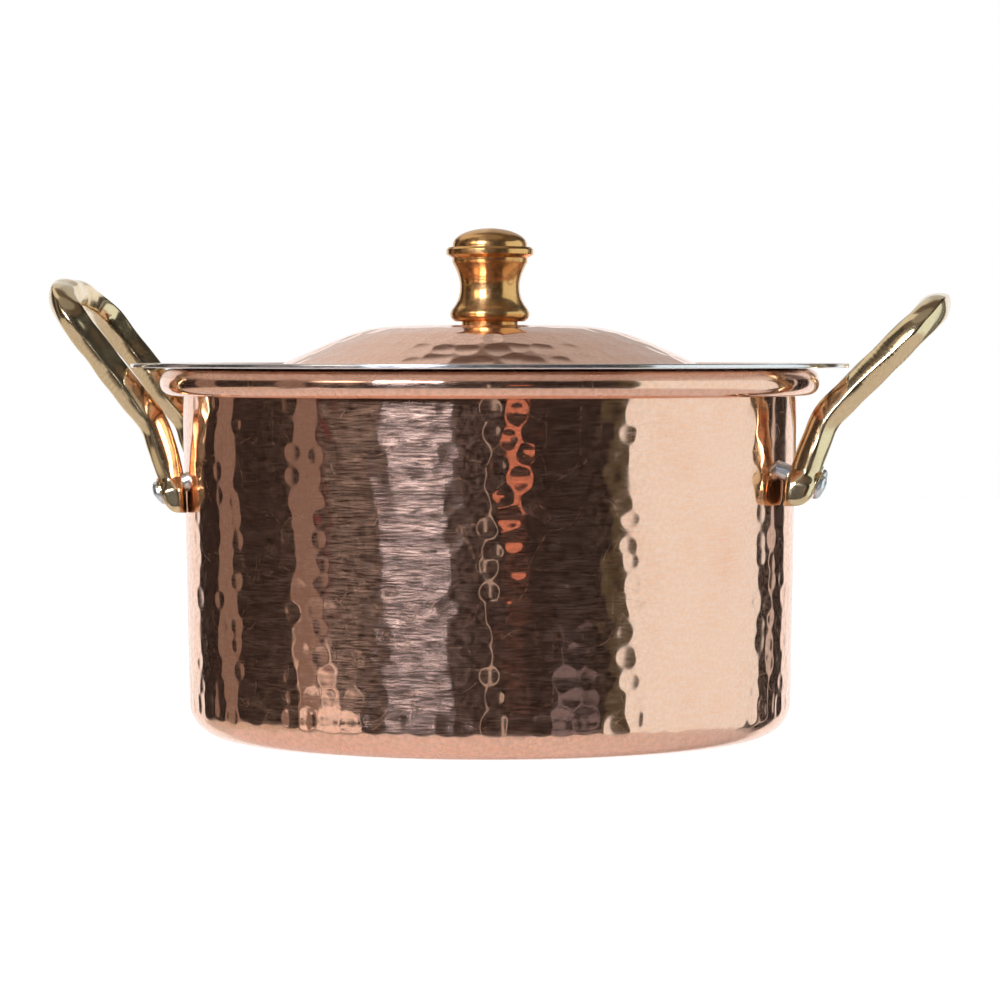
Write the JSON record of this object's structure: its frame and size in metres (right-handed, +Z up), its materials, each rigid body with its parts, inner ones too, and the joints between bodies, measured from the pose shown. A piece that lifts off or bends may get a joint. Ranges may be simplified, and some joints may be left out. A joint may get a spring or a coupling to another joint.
{
  "type": "cooking pot",
  "caption": "Round flat-bottomed copper casserole with a steel lining, rolled rim, two riveted brass loop handles and a low domed lift-off lid with a turned brass knob.",
  "frame": {"origin": "centre of the pot's flat base, at the level of the surface that it stands on", "axes": "+Z up along the pot's axis, the handles along +X and -X, -Y the front"},
  "size_m": [0.2991, 0.2384, 0.1677],
  "materials": {
    "copper": "polished and hammered",
    "steel": "satin",
    "cast_brass": "hand polished",
    "turned_brass": "turned and polished",
    "rivet_metal": "satin"
  },
  "bodies": {
    "pot": {"pot_body": "copper", "pot_lining": "steel", "handle_left": "cast_brass", "handle_right": "cast_brass", "rivet_left_front": "rivet_metal", "rivet_left_back": "rivet_metal", "rivet_right_front": "rivet_metal", "rivet_right_back": "rivet_metal", "rivet_washer_left_front": "cast_brass", "rivet_washer_left_back": "cast_brass", "rivet_washer_right_front": "cast_brass", "rivet_washer_right_back": "cast_brass"},
    "lid": {"lid_cover": "copper", "lid_lining": "steel", "lid_knob": "turned_brass", "knob_screw": "rivet_metal", "knob_washer": "rivet_metal"}
  },
  "joints": [
    {"name": "lid_lift", "type": "slide", "parent": "pot", "child": "lid", "axis": [0, 0, 1], "range_m": [0, 0.12]}
  ]
}
